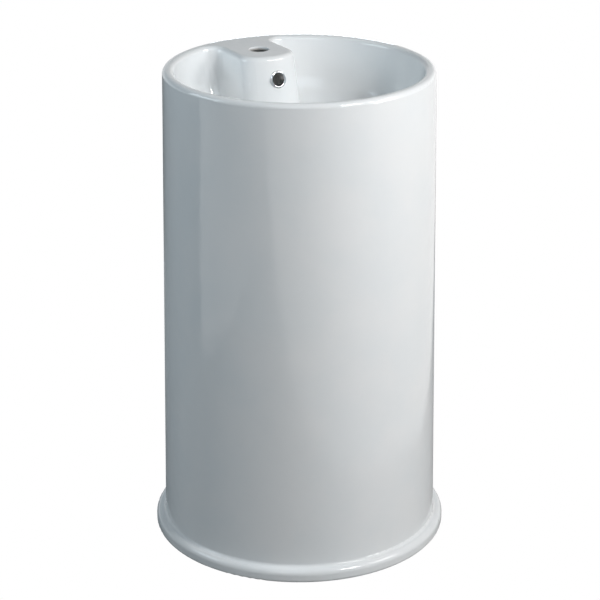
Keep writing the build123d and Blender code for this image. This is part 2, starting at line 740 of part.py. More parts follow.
def slip_seal(mouth):
    """The rubber ring of a slip union, standing a little proud of its socket."""
    outer = seal_seat - 2 * THREAD_CLEARANCE
    return washer(outer, PIPE_DIAMETER, mouth - seal_depth, mouth + UNION_SEAL_PROUD)


def trap_inlet_nut():
    """The nut that hangs the trap on the waste's tail."""
    lip_low = collar_low - UNION_LIP
    return union_nut(thread_bore, pipe_hole, lip_low, collar_low, tail_z + INLET_NUT_REACH)


def trap_inlet_seal():
    """The flat ring between the waste's tail and the inlet tube's collar."""
    return washer(WASTE_THREAD_DIAMETER, pipe_bore, collar_top, tail_z)


def trap_inlet_tube():
    """The tube from the waste down into the cup, with the collar that its nut pulls up."""
    tube = washer(PIPE_DIAMETER, pipe_bore, dip_z, collar_top)
    return tube + washer(WASTE_THREAD_DIAMETER, pipe_bore, collar_low, collar_top)


def trap_head():
    """The trap's fixed part: the neck for the inlet tube, the side outlet and the thread for the cup."""
    inner = TRAP_DIAMETER - 2 * TRAP_WALL
    head = post(TRAP_DIAMETER, head_bottom, head_top) + post(UNION_THREAD, head_top, neck_top)
    head += post(shoulder_diameter, shoulder_low, shoulder_top)
    head += outlet_place * post(UNION_THREAD, 0, outlet_end)
    head -= post(inner, head_bottom - OVERCUT, head_top - TRAP_WALL)
    head -= post(pipe_hole, head_bottom, neck_top + OVERCUT)
    head -= post(seal_seat, neck_top - seal_depth, neck_top + OVERCUT)
    head -= outlet_place * post(pipe_hole, 0, outlet_end + OVERCUT)
    head -= outlet_place * post(seal_seat, outlet_end - seal_depth, outlet_end + OVERCUT)
    return head


def trap_cup():
    """The cup that unscrews downward for cleaning."""
    inner = TRAP_DIAMETER / 2 + SHIFT_CLEARANCE
    outer = inner + TRAP_WALL
    grip_low = cup_top - CUP_GRIP_HEIGHT
    inside = cup_bottom + TRAP_WALL
    points = [
        (0, cup_bottom),
        (outer, cup_bottom),
        (outer, grip_low),
        (shoulder_diameter / 2, grip_low),
        (shoulder_diameter / 2, cup_top),
        (inner, cup_top),
        (inner, inside),
        (0, inside),
    ]
    cup = turned(points, [(1, CUP_BOTTOM_ROUND), (6, CUP_BOTTOM_ROUND - TRAP_WALL)])
    grip = (UNION_RIBS, UNION_RIB_DEPTH, UNION_RIB_WIDTH)
    return cup + ribs(shoulder_diameter, *grip, grip_low, cup_top)


def trap_cup_seal():
    """The flat ring on the cup's edge."""
    return washer(shoulder_diameter, TRAP_DIAMETER + 2 * SHIFT_CLEARANCE, cup_top, shoulder_low)


def outlet_pipe():
    """The pipe from the trap to the back of the foot, with a chamfered end and an insertion mark."""
    start = TRAP_DIAMETER / 2
    end = flange_radius - PIPE_END_INSET
    mark = end - PIPE_MARK_SETBACK
    outer = PIPE_DIAMETER / 2
    points = [
        (pipe_bore / 2, start),
        (outer, start),
        (outer, mark - PIPE_MARK_WIDTH),
        (outer - PIPE_MARK_DEPTH, mark - PIPE_MARK_WIDTH),
        (outer - PIPE_MARK_DEPTH, mark),
        (outer, mark),
        (outer, end - PIPE_END_CHAMFER),
        (outer - PIPE_END_CHAMFER, end),
        (pipe_bore / 2, end),
    ]
    return outlet_place * turned(points)


# Floor fixings
leg_face = pad_face - BRACKET_THICKNESS
head_seat = cap_seat + BUSH_COLLAR_THICKNESS
head_end = head_seat + BOLT_HEAD_HEIGHT


def floor_bracket(side):
    """One steel angle: its leg bolted to the casting's inner pad, its foot on the floor."""
    points = [
        (-BOLT_HEIGHT, pad_face),
        (-BOLT_HEIGHT, pad_face - BRACKET_FOOT),
        (BRACKET_THICKNESS - BOLT_HEIGHT, pad_face - BRACKET_FOOT),
        (BRACKET_THICKNESS - BOLT_HEIGHT, leg_face),
        (BRACKET_HEIGHT - BOLT_HEIGHT, leg_face),
        (BRACKET_HEIGHT - BOLT_HEIGHT, pad_face),
    ]
    outline = make_face(Polyline(*points, close=True))
    outer_bend = outline.vertices().sort_by_distance(Vector(*points[0], 0))[0]
    outline = fillet(outer_bend, BRACKET_BEND_ROUND)
    inner_bend = outline.vertices().sort_by_distance(Vector(*points[3], 0))[0]
    outline = fillet(inner_bend, BRACKET_BEND_ROUND - BRACKET_THICKNESS)
    bracket = extrude(Plane.YZ * outline, BRACKET_WIDTH / 2, both=True)
    bracket -= bar(BOLT_DIAMETER + 2 * SHIFT_CLEARANCE, leg_face - OVERCUT, pad_face + OVERCUT)
    foot_hole = Rot(90, 0, 0) * Cylinder(BRACKET_FOOT_HOLE / 2, BRACKET_HEIGHT)
    bracket -= Pos(0, -BOLT_HEIGHT, pad_face - FOOT_HOLE_SETBACK) * foot_hole
    return fixing_place(side) * bracket


def bracket_bolts():
    """The two side bolts, each with a round head and a hexagon socket."""
    tip = leg_face - BOLT_NUT_HEIGHT - BOLT_SPARE_THREAD
    bolt = bar(BOLT_DIAMETER, tip, head_seat) + bar(BOLT_HEAD_DIAMETER, head_seat, head_end)
    socket = RegularPolygon(BOLT_SOCKET / 2, 6, major_radius=False)
    bolt -= extrude(Pos(0, 0, head_end - BOLT_SOCKET_DEPTH) * socket, BOLT_SOCKET_DEPTH + OVERCUT)
    return Compound(children=both_sides(bolt))


def bracket_nuts():
    """The two nuts behind the brackets."""
    low = leg_face - BOLT_NUT_HEIGHT
    hexagon = RegularPolygon(BOLT_NUT_ACROSS_FLATS / 2, 6, major_radius=False)
    nut = extrude(Pos(0, 0, low) * hexagon, BOLT_NUT_HEIGHT)
    nut -= bar(BOLT_DIAMETER + 2 * THREAD_CLEARANCE, low - OVERCUT, leg_face + OVERCUT)
    return Compound(children=both_sides(nut))


def bolt_bushes():
    """The two plastic bushes that keep the bolts off the glaze."""
    bush = bar(bush_diameter, pad_face + BUSH_END_GAP, head_seat)
    bush += bar(BUSH_COLLAR_DIAMETER, cap_seat, head_seat)
    bush -= bar(BOLT_DIAMETER + 2 * SLIDE_CLEARANCE, pad_face - OVERCUT, head_seat + OVERCUT)
    return Compound(children=both_sides(bush))


def bolt_caps():
    """The two caps over the bolt heads."""
    inside = head_end + SHIFT_CLEARANCE
    shell = bar(CAP_DIAMETER, cap_seat, inside + CAP_WALL)
    shell = fillet(shell.edges().sort_by(Axis.Z)[-1], CAP_ROUND)
    cap = shell - bar(CAP_DIAMETER - 2 * CAP_WALL, cap_seat - OVERCUT, inside)
    return Compound(children=both_sides(cap))


whole_casting = casting()
basin = whole_casting & basin_core()

PIECES = {
    "ceramic_bowl": basin - ledge_side(),
    "ceramic_ledge": basin & ledge_side(),
    "ceramic_column": whole_casting - basin_core(),
    "overflow_ring": overflow_ring(),
    "waste_body": waste_body(),
    "waste_top_seal": waste_top_seal(),
    "waste_under_seal": waste_under_seal(),
    "waste_slip_washer": waste_slip_washer(),
    "waste_backnut": waste_backnut(),
    "plug_cap": plug_cap(),
    "plug_seal": plug_seal(),
    "plug_stem": plug_stem(),
    "clicker_housing": clicker_housing(),
    "clicker_spring": clicker_spring(),
    "trap_inlet_nut": trap_inlet_nut(),
    "trap_inlet_seal": trap_inlet_seal(),
    "trap_inlet_tube": trap_inlet_tube(),
    "trap_tube_nut": slip_nut(neck_top),
    "trap_tube_seal": slip_seal(neck_top),
    "trap_head": trap_head(),
    "trap_cup": trap_cup(),
    "trap_cup_seal": trap_cup_seal(),
    "trap_outlet_nut": outlet_place * slip_nut(outlet_end),
    "trap_outlet_seal": outlet_place * slip_seal(outlet_end),
    "outlet_pipe": outlet_pipe(),
    "floor_bracket_left": floor_bracket(-1),
    "floor_bracket_right": floor_bracket(1),
    "bracket_bolts": bracket_bolts(),
    "bracket_nuts": bracket_nuts(),
    "bolt_bushes": bolt_bushes(),
    "bolt_caps": bolt_caps(),
}

os.makedirs("parts", exist_ok=True)
for name, piece in PIECES.items():
    export_step(piece, f"parts/{name}.step")
    print(name, "volume", round(piece.volume), "mm3")
print("plug: travel", PLUG_TRAVEL, "stem foot", stem_foot, "spring floor", barrel_floor)
print("bowl floor", floor_z, "waste flange", flange_top, "boss", boss_z, "tail", tail_z)
print("outlet", outlet_z, "cup top", cup_top, "cup bottom", cup_bottom, "pad face", pad_face)
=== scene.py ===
# %% [markdown]
# # A one-piece pedestal sink
# The real sink is one white glazed casting: a round bowl with a tap ledge at the back, on a
# plain column with a rounded foot. A plated overflow ring shows in the ledge, and a plug,
# a waste and a bottle trap sit below. The exact shapes come as a frame of solids, so this
# lesson adds what solids lack: a camera, a studio, and finishes that look right close up.

# %% Load the frame
import json
import math

import bpy
from mathutils import Matrix, Vector


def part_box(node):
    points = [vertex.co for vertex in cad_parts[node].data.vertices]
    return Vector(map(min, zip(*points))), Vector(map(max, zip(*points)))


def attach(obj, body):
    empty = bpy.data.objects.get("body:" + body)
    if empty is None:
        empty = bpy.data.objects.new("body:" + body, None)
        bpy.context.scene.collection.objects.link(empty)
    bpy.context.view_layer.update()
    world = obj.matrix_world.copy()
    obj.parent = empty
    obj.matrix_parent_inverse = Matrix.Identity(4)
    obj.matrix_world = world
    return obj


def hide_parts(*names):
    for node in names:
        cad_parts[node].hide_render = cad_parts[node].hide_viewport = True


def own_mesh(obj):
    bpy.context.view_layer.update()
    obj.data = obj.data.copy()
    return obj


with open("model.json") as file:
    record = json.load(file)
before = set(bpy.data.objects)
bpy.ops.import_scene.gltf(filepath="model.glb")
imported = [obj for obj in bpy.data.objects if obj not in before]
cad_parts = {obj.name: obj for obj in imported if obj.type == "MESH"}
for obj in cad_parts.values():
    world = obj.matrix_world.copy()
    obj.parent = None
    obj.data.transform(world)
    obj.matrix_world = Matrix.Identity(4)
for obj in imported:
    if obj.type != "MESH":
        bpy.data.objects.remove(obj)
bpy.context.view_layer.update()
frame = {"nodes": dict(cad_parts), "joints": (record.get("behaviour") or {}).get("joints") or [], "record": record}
nodes = frame["nodes"]

# %% [markdown]
# ## Camera
# The picture was taken with a long lens from above the rim, a third of a right angle round
# to the sink's left. A camera can be dragged until it looks right, but a round column gives
# enough outline to work its place out: the widths of rim and foot fix distance and lens, and
# the flatness of their ellipses fixes the pitch. So the numbers are set directly.

# %% Camera
CAMERA_TURN = math.radians(30.6)
CAMERA_DISTANCE = 3.4085
CAMERA_HEIGHT = 1.7631
CAMERA_PITCH = math.radians(21.44)
CAMERA_SWING = math.radians(0.02)
CAMERA_LENS = 123.84
CAMERA_SENSOR = 36.0

camera = bpy.data.objects.new("camera", bpy.data.cameras.new("camera"))
bpy.context.scene.collection.objects.link(camera)
bpy.context.scene.camera = camera
camera.data.lens = CAMERA_LENS
camera.data.sensor_width = CAMERA_SENSOR
place = Vector((-math.sin(CAMERA_TURN), -math.cos(CAMERA_TURN), 0)) * CAMERA_DISTANCE
place.z = CAMERA_HEIGHT
aim = Matrix.Rotation(-CAMERA_TURN - CAMERA_SWING, 4, "Z")
aim = aim @ Matrix.Rotation(math.pi / 2 - CAMERA_PITCH, 4, "X")
camera.matrix_world = Matrix.Translation(place) @ aim
print("camera at", [round(x, 3) for x in camera.location], "lens", camera.data.lens)

# %% [markdown]
# ## Shader maths as plain Python
# A finish is a small formula: where the clay is bare, how far the glaze ripples. Drawing it
# as boxes and wires hides the formula, so one small class wraps a socket and turns + - *
# into Math nodes. Every other node comes from one method of the finish.


# %% A socket that does sums
class Value:
    """A socket of a node tree. Sums on it add Math nodes."""

    def __init__(self, finish, socket):
        self.finish = finish
        self.socket = socket

    def maths(self, operation, *others):
        """A Math node with this value first."""
        inputs = dict(enumerate((self, *others)))
        return self.finish.node("Math", {"operation": operation}, inputs)

    def __add__(self, other):
        return self.maths("ADD", other)

    def __sub__(self, other):
        return self.maths("SUBTRACT", other)

    def __mul__(self, other):
        return self.maths("MULTIPLY", other)

    def __rsub__(self, other):
        return self.finish.node("Math", {"operation": "SUBTRACT"}, {0: other, 1: self})

    __radd__ = __add__
    __rmul__ = __mul__

    def either(self, other):
        """The greater of two values, so of two masks 1 where either is 1."""
        return self.maths("MAXIMUM", other)

    def between(self, low, high):
        """0 below low, 1 above high and a soft step between them."""
        settings = {"interpolation_type": "SMOOTHSTEP"}
        inputs = {"Value": self, "From Min": low, "From Max": high}
        return self.finish.node("MapRange", settings, inputs)

    def wave(self):
        """A sine of the value, going from 0 to 1 and back."""
        return self.maths("SINE") * 0.5 + 0.5


print("a socket can add, subtract and multiply")

# %% A tree with one method for its nodes
# A Mix node repeats the names of its sockets, so those for colours go by number.
MIX_FACTOR = 0
MIX_FIRST = 6
MIX_SECOND = 7
MIX_RESULT = 2


class Finish:
    """One node tree, of a material or of the world, with one method for all its nodes."""

    def __init__(self, owner):
        owner.use_nodes = True
        self.owner = owner
        self.tree = owner.node_tree

    def node(self, kind, settings=None, inputs=None, output=0):
        """A new node of a type, with its settings, then the values or links of its sockets."""
        made = self.tree.nodes.new("ShaderNode" + kind)
        for name, value in (settings or {}).items():
            setattr(made, name, value)
        for name, value in (inputs or {}).items():
            if isinstance(value, Value):
                self.tree.links.new(value.socket, made.inputs[name])
            else:
                made.inputs[name].default_value = value
        return Value(self, made.outputs[output]) if made.outputs else made

    def mix(self, factor, first, second):
        """One colour turning into another as the factor goes from 0 to 1."""
        inputs = {MIX_FACTOR: factor, MIX_FIRST: first, MIX_SECOND: second}
        return self.node("Mix", {"data_type": "RGBA"}, inputs, output=MIX_RESULT)

    def blend(self, share, first, second):
        """One shader turning into another. Their sockets share a name, so they go by number."""
        return self.node("MixShader", None, {0: share, 1: first, 2: second})

    def place(self):
        """Where the point lies on the piece, in metres."""
        return self.node("TexCoord", output="Object")

    def axes(self):
        """The three coordinates of the point as separate values."""
        made = self.node("SeparateXYZ", None, {"Vector": self.place()}).socket.node
        return [Value(self, socket) for socket in made.outputs]

    def noise(self, scale, detail=2.0, roughness=0.5):
        """Cloudy grain over the piece; scale is blots per metre."""
        inputs = {"Vector": self.place(), "Scale": scale, "Detail": detail}
        inputs["Roughness"] = roughness
        return self.node("TexNoise", None, inputs)

    def bump(self, height, distance):
        """A normal that leans as if the surface rose by height times distance."""
        inputs = {"Height": height, "Distance": distance, "Strength": 1.0}
        return self.node("Bump", None, inputs)


print("a finish can add any node")

# %% [markdown]
# ## Floor
# The sink stands on plain white without a shadow, as a cut-out does. A floor that is lit
# until it turns white would also flood the sink with light from below. Here the floor is an
# ordinary light grey surface that sends a little light up, and only to the camera it is
# white by itself. A glossy column seen from above mirrors the floor, and the mirror image is
# what tells glaze from plaster. So to mirrored rays the floor glows white far off and on two
# sheets, one at the right and front, one at the left: painted reflections whose edges show on the column.

# %% Floor
FLOOR_SIZE = 40.0

floor_mesh = bpy.data.meshes.new("floor")
half = FLOOR_SIZE / 2
corners = [(-half, -half, 0), (half, -half, 0), (half, half, 0), (-half, half, 0)]
floor_mesh.from_pydata(corners, [], [(0, 1, 2, 3)])
floor = bpy.data.objects.new("floor", floor_mesh)
bpy.context.scene.collection.objects.link(floor)
print("floor", FLOOR_SIZE, "m wide")

# %% White for the camera
WHITE = (1.0, 1.0, 1.0, 1)


def seen_directly(finish, mirrored):
    """1 for rays from the camera or through glass, a given share of mirrored ones, else 0."""
    path = finish.node("LightPath").socket.node
    names = ("Is Camera Ray", "Is Transmission Ray", "Is Glossy Ray")
    camera_ray, glass_ray, mirror_ray = [Value(finish, path.outputs[name]) for name in names]
    return camera_ray.either(glass_ray).either(mirror_ray * mirrored)


print("white is shown to camera and glass, and to mirrored rays by a share")

# %% Floor paper and painted reflections
# ACROSS and AHEAD are the camera's right and its way forward, along the floor. Distances are
# in metres from the column's axis. Each pair is where white begins and where it is full,
# except at the front of the left painted reflection, where white begins to fade and where it has gone.
ACROSS = Vector((math.cos(CAMERA_TURN), -math.sin(CAMERA_TURN), 0))
AHEAD = Vector((math.sin(CAMERA_TURN), math.cos(CAMERA_TURN), 0))
FLOOR_COLOUR = (0.40, 0.40, 0.40, 1)
FAR_OFF = (2.5, 6.0)
REFLECTION_EDGE = Vector((0.79, 0.61, 0))
RIGHT_REFLECTION_STEP = (0.56, 0.70)
LEFT_REFLECTION_STEP = (1.12, 1.26)
LEFT_REFLECTION_BACK = (0.12, 0.20)
LEFT_REFLECTION_FRONT = (0.4, 2.2)


def hypotenuse(first, second):
    """The distance that two distances at right angles add up to."""
    return (first * first + second * second).maths("SQRT")


paper = Finish(bpy.data.materials.new("white_paper"))
paper.tree.nodes.clear()
pale = paper.node("BsdfDiffuse", None, {"Color": FLOOR_COLOUR})
glow = paper.node("Emission", None, {"Color": WHITE, "Strength": 1.0})
x, y = paper.axes()[:2]
rightward = x * ACROSS.x + y * ACROSS.y
to_camera = x * -AHEAD.x + y * -AHEAD.y
past_edge = (rightward * REFLECTION_EDGE.x + to_camera * REFLECTION_EDGE.y).either(rightward)
# Painted reflections: two patches where the floor glows white only to mirrored rays.
right_painted_reflection = past_edge.between(*RIGHT_REFLECTION_STEP)
left_painted_reflection = (0 - rightward).between(*LEFT_REFLECTION_STEP) * to_camera.between(*LEFT_REFLECTION_BACK)
left_painted_reflection = left_painted_reflection * (1 - to_camera.between(*LEFT_REFLECTION_FRONT))
far_off = hypotenuse(x, y).between(*FAR_OFF)
mirrored = far_off.either(right_painted_reflection).either(left_painted_reflection)
shown = paper.blend(seen_directly(paper, mirrored), pale, glow)
paper.node("OutputMaterial", None, {"Surface": shown})
floor_mesh.materials.append(paper.owner)
print("floor paper made with", len(paper.tree.nodes), "nodes")

# %% [markdown]
# ## Backdrop
# Behind the sink hangs the same white, and the glaze mirrors it too. A world that is white
# all round would be the easy way, but it would wash out the rim and the tap deck, which face
# up. So above the backdrop the glaze sees a dim studio ceiling, which keeps them grey. The
# world gives hardly any light of its own, because that is the lamps' work.

# %% Backdrop
# The backdrop's edges are heights on a ball of radius 1 round the sink.
BACKDROP_LOW = 0.05
BACKDROP_HIGH = 0.40
CEILING_DIM = 0.75
AMBIENT_COLOUR = (0.86, 0.95, 1.0, 1)
AMBIENT = 0.03

sky = Finish(bpy.data.worlds.new("studio"))
sky.tree.nodes.clear()
bpy.context.scene.world = sky.owner
room = sky.node("Background", None, {"Color": AMBIENT_COLOUR, "Strength": AMBIENT})
white = sky.node("Background", None, {"Color": WHITE, "Strength": 1.0})
up = sky.axes()[2]
backdrop = 1 - up.between(BACKDROP_LOW, BACKDROP_HIGH) * CEILING_DIM
around = sky.blend(seen_directly(sky, backdrop), room, white)
sky.node("OutputWorld", None, {"Surface": around})
bpy.context.scene.view_settings.view_transform = "Standard"
print("backdrop made, ambient light", AMBIENT)

# %% [markdown]
# ## Studio light
# White china shows its form only by shading, so most light comes from one side: two soft
# boxes to the right of the camera, the stronger one higher and nearer to the front. Two
# weak boxes at the left and in front lift the shadows. They stand near and above the rim,
# so the column darkens toward the floor, and they are cooler, which gives shaded china its
# bluish grey. A last weak box stands low behind the sink. It lights the opening in the back
# and the trap in there, and being lower than the rim it sends nothing into the bowl.

# %% Lamps
LAMP_AIM = Vector((0, 0, 0.55))
DAYLIGHT = (1.0, 0.99, 0.985)
SHADE = (0.80, 0.92, 1.0)


def soft_box(name, colour, watts, turn, distance, height, size):
    """A lamp aimed at the sink, turned in degrees to the right of the camera's side."""
    lamp = bpy.data.objects.new(name, bpy.data.lights.new(name, "AREA"))
    bpy.context.scene.collection.objects.link(lamp)
    lamp.data.shape = "RECTANGLE"
    lamp.data.size, lamp.data.size_y = size
    lamp.data.energy = watts
    lamp.data.color = colour
    angle = math.radians(turn)
    lamp.location = (ACROSS * math.sin(angle) - AHEAD * math.cos(angle)) * distance
    lamp.location.z = height
    lamp.rotation_euler = (LAMP_AIM - lamp.location).to_track_quat("-Z", "Y").to_euler()


soft_box("key_box_upper", DAYLIGHT, watts=47.5, turn=45, distance=2.4, height=2.3, size=(0.8, 0.6))
soft_box("key_box_lower", DAYLIGHT, watts=20, turn=75, distance=2.0, height=1.75, size=(1.0, 0.7))
soft_box("left_box", SHADE, watts=11.2, turn=-82, distance=1.7, height=1.45, size=(1.0, 0.8))
soft_box("front_box", SHADE, watts=9.5, turn=-10, distance=2.2, height=2.4, size=(1.2, 1.2))
soft_box("back_box", SHADE, watts=9.0, turn=180, distance=1.6, height=0.5, size=(0.5, 0.7))

# %% [markdown]
# ## Glaze
# Sanitary ware is dipped in a white glass that melts level in the kiln. Up close the gloss
# is not quite flat: it ripples gently, and the white has faint clouds. Under the foot and
# inside the column the clay stays bare, matt, greyer and a little warmer. The two could be
# painted on as separate materials, but the sizes of the bowl and the column say which side
# of a wall a point is on, so a few sums part glaze from clay without touching the solids.


# %% Start and paint a finish
def new_finish(name):
    """A material with its Principled shader, ready for values and links."""
    finish = Finish(bpy.data.materials.new(name))
    finish.shader = finish.tree.nodes["Principled BSDF"]
    return finish


def paint(finish, **sockets):
    """Set or link the shader's sockets, named with _ for spaces."""
    for name, value in sockets.items():
        socket = finish.shader.inputs[name.replace("_", " ")]
        if isinstance(value, Value):
            finish.tree.links.new(value.socket, socket)
        else:
            socket.default_value = value
    print(finish.owner.name, "made with", len(finish.tree.nodes), "nodes")


print("a finish can be started and painted")

# %% Which side of the wall
# Sizes of the casting in metres from the floor and the column's axis, slopes in metres per
# metre. A skin is how deep below a face a point may lie and still count as on that face.
SKIN = 0.006
TOP_SKIN = 0.003
SOFT_EDGE = 0.0008
COLUMN_FOOT = 0.246
COLUMN_TAPER = 0.0153
RIM_TOP = 0.850
BOWL_EDGE = 0.215
BOWL_LEAN = 0.2126
BOWL_FLOOR = 0.7065
FLOOR_SLOPE = 0.1051
CORNER_RADIUS = 0.088
CORNER_OUT = 0.1159
CORNER_UP = 0.8071
CORNER_TOP = 0.789
LEDGE_FRONT = 0.080
LEDGE_SKIN = 0.008
LEDGE_BEND = 10.0
LEDGE_HALF = 0.052
LEDGE_SIDE_LEAN = 0.035
FOOT_LINE = 0.0012


def positive(value):
    """1 where the value is above zero, with a thin soft edge."""
    return value.between(-SOFT_EDGE, SOFT_EDGE)


def glazed_share(finish):
    """1 on the faces that were dipped: outside, on top and in the bowl. 0 inside and below."""
    x, y, z = finish.axes()
    depth = RIM_TOP - z
    off_axis = hypotenuse(x, y)
    outside = positive(off_axis - COLUMN_FOOT + z * COLUMN_TAPER + SKIN)
    top = positive(TOP_SKIN - depth)
    over_floor = positive(z - BOWL_FLOOR - off_axis * FLOOR_SLOPE + SKIN)
    within_side = positive(BOWL_EDGE - depth * BOWL_LEAN + SKIN - off_axis)
    out = (off_axis - CORNER_OUT).maths("MAXIMUM", 0.0)
    down = (CORNER_UP - z).maths("MAXIMUM", 0.0)
    round_corner = positive(CORNER_RADIUS + SKIN - hypotenuse(out, down))
    clear_of_corner = positive(z - CORNER_TOP).either(positive(CORNER_OUT - off_axis))
    in_bowl = over_floor * within_side * round_corner.either(clear_of_corner)
    behind = positive(y - LEDGE_FRONT + depth * BOWL_LEAN - LEDGE_SKIN - x * x * LEDGE_BEND)
    between_sides = positive(LEDGE_HALF + depth * LEDGE_SIDE_LEAN - SKIN - x.maths("ABSOLUTE"))
    dipped = (in_bowl * (1 - behind * between_sides)).either(outside)
    return dipped.either(top) * positive(z - FOOT_LINE)


print("glaze and clay part within", SOFT_EDGE, "m")

# %% Glaze and clay
GLAZE_SHADES = ((0.79, 0.815, 0.825, 1), (0.815, 0.83, 0.835, 1))
CLAY_SHADES = ((0.38, 0.375, 0.362, 1), (0.48, 0.474, 0.458, 1))
GLAZE_CLOUDS = 9
GLAZE_CLOUD_STEP = (0.35, 0.65)
GLAZE_RIPPLES = 34
GLAZE_IOR = 1.5
CLAY_GRAIN = 900
CLAY_ROUGHNESS = 0.86
DIPPED_SMOOTHER = 0.81
CLOUD_ROUGHER = 0.05
CASTING_RELIEF = 0.0004

glaze = new_finish("white_glaze")
dipped = glazed_share(glaze)
clouds = glaze.noise(GLAZE_CLOUDS, detail=3).between(*GLAZE_CLOUD_STEP)
grain = glaze.noise(CLAY_GRAIN, detail=3, roughness=0.7)
glaze_white = glaze.mix(clouds, *GLAZE_SHADES)
clay = glaze.mix(grain, *CLAY_SHADES)
ripple = glaze.noise(GLAZE_RIPPLES, detail=1) * dipped
grit = grain * (1 - dipped)
paint(
    glaze,
    Base_Color=glaze.mix(dipped, clay, glaze_white),
    Roughness=CLAY_ROUGHNESS - dipped * (DIPPED_SMOOTHER - CLOUD_ROUGHER * clouds),
    Normal=glaze.bump(ripple + grit, CASTING_RELIEF),
    IOR=GLAZE_IOR,
)

# %% [markdown]
# ## Plated metal
# The overflow ring, the waste and the plug are brass with a bright nickel and chrome coat.
# A mirror finish has little of its own to show, so what makes it real is wear: wiping marks
# that spread the mirror image a little here and there, and a hardly visible waviness from
# polishing before the bath.

# %% Chrome
CHROME_SHADES = ((0.80, 0.81, 0.83, 1), (0.70, 0.72, 0.74, 1))
CHROME_MARKS = 60
CHROME_MARK_STEP = (0.45, 0.75)
CHROME_WAVES = 150
CHROME_RELIEF = 0.00008
CHROME_ROUGHNESS = 0.06
WIPED_ROUGHER = 0.12

chrome = new_finish("bright_chrome")
wiped = chrome.noise(CHROME_MARKS, detail=4, roughness=0.6).between(*CHROME_MARK_STEP)
polish = chrome.noise(CHROME_WAVES, detail=1)
paint(
    chrome,
    Base_Color=chrome.mix(wiped, *CHROME_SHADES),
    Metallic=1.0,
    Roughness=CHROME_ROUGHNESS + WIPED_ROUGHER * wiped,
    Normal=chrome.bump(polish, CHROME_RELIEF),
)

# %% [markdown]
# ## Rubber
# Seals are pressed from black rubber. They are matt, with a fine grain from the mould and a
# pale bloom where wax comes to the surface. Black in a picture is never zero: a dark grey
# with a rough surface keeps its shape readable.

# %% Rubber
RUBBER_SHADES = ((0.016, 0.016, 0.018, 1), (0.045, 0.045, 0.047, 1))
RUBBER_BLOOM = 130
RUBBER_BLOOM_STEP = (0.4, 0.8)
RUBBER_PORES = 1800
RUBBER_RELIEF = 0.0002
RUBBER_ROUGHNESS = 0.62
BLOOM_ROUGHER = 0.25

rubber = new_finish("black_rubber")
bloom = rubber.noise(RUBBER_BLOOM, detail=4, roughness=0.65).between(*RUBBER_BLOOM_STEP)
pores = rubber.noise(RUBBER_PORES, detail=2)
paint(
    rubber,
    Base_Color=rubber.mix(bloom, *RUBBER_SHADES),
    Roughness=RUBBER_ROUGHNESS + BLOOM_ROUGHER * bloom,
    Normal=rubber.bump(pores, RUBBER_RELIEF),
)

# %% [markdown]
# ## Nylon
# Washers, bushes and the clicker's barrel are moulded in undyed nylon, a milky cream. Light
# goes a little way into it, which the shader's subsurface setting stands for, and faint
# flow lines run round the piece where the melt met.

# %% Nylon
NYLON_SHADES = ((0.70, 0.67, 0.57, 1), (0.78, 0.76, 0.68, 1))
NYLON_CLOUDS = 45
NYLON_CLOUD_STEP = (0.3, 0.7)
NYLON_FLOW = 900
FLOW_WANDER = 70
FLOW_WANDER_SHARE = 9
FLOW_RELIEF_SHARE = 0.3
NYLON_GRAIN = 1200
NYLON_RELIEF = 0.00012
NYLON_ROUGHNESS = 0.36
MILKY_ROUGHER = 0.12

nylon = new_finish("natural_nylon")
height = nylon.axes()[2]
wander = nylon.noise(FLOW_WANDER, detail=2) * FLOW_WANDER_SHARE
flow = (height * NYLON_FLOW + wander).wave()
milky = nylon.noise(NYLON_CLOUDS, detail=3).between(*NYLON_CLOUD_STEP)
paint(
    nylon,
    Base_Color=nylon.mix(milky, *NYLON_SHADES),
    Roughness=NYLON_ROUGHNESS + MILKY_ROUGHER * milky,
    Normal=nylon.bump(flow * FLOW_RELIEF_SHARE + nylon.noise(NYLON_GRAIN), NYLON_RELIEF),
    Subsurface_Weight=0.15,
    Subsurface_Scale=0.004,
)

# %% [markdown]
# ## Brass
# The backnut and the plug's stem are left as they came from the lathe. A turning tool
# leaves fine rings, so a sine of the height is enough for the grooves. Brass tarnishes in
# spots, browner and duller than the fresh metal.

# %% Brass
BRASS_SHADES = ((0.72, 0.53, 0.24, 1), (0.42, 0.29, 0.13, 1))
BRASS_RINGS = 14000
BRASS_RELIEF = 0.00006
BRASS_SPOTS = 110
BRASS_SPOT_STEP = (0.42, 0.72)
BRASS_ROUGHNESS = 0.24
TARNISH_ROUGHER = 0.26

brass = new_finish("turned_brass")
height = brass.axes()[2]
rings = (height * BRASS_RINGS).wave()
tarnish = brass.noise(BRASS_SPOTS, detail=5, roughness=0.65).between(*BRASS_SPOT_STEP)
paint(
    brass,
    Base_Color=brass.mix(tarnish, *BRASS_SHADES),
    Metallic=1.0,
    Roughness=BRASS_ROUGHNESS + TARNISH_ROUGHER * tarnish,
    Normal=brass.bump(rings, BRASS_RELIEF),
)

# %% [markdown]
# ## Zinc
# Brackets, bolts, nuts and the spring are steel with a zinc coat. Zinc freezes in grains that
# each mirror a little differently: cells of a Voronoi texture, with a grey of their own, give
# that spangle. Bump from the same cells would look like hammered tin, so it stays slight.

# %% Zinc
ZINC_SHADES = ((0.46, 0.47, 0.49, 1), (0.64, 0.65, 0.66, 1))
ZINC_DULL_SHADE = (0.50, 0.50, 0.50, 1)
ZINC_CELLS = 260.0
CELL_RELIEF_SHARE = 0.2
ZINC_PATCHES = 90
ZINC_PATCH_STEP = (0.35, 0.7)
ZINC_GRAIN = 700
ZINC_RELIEF = 0.00012
ZINC_ROUGHNESS = 0.28
CELL_ROUGHER = 0.14
DULL_ROUGHER = 0.10

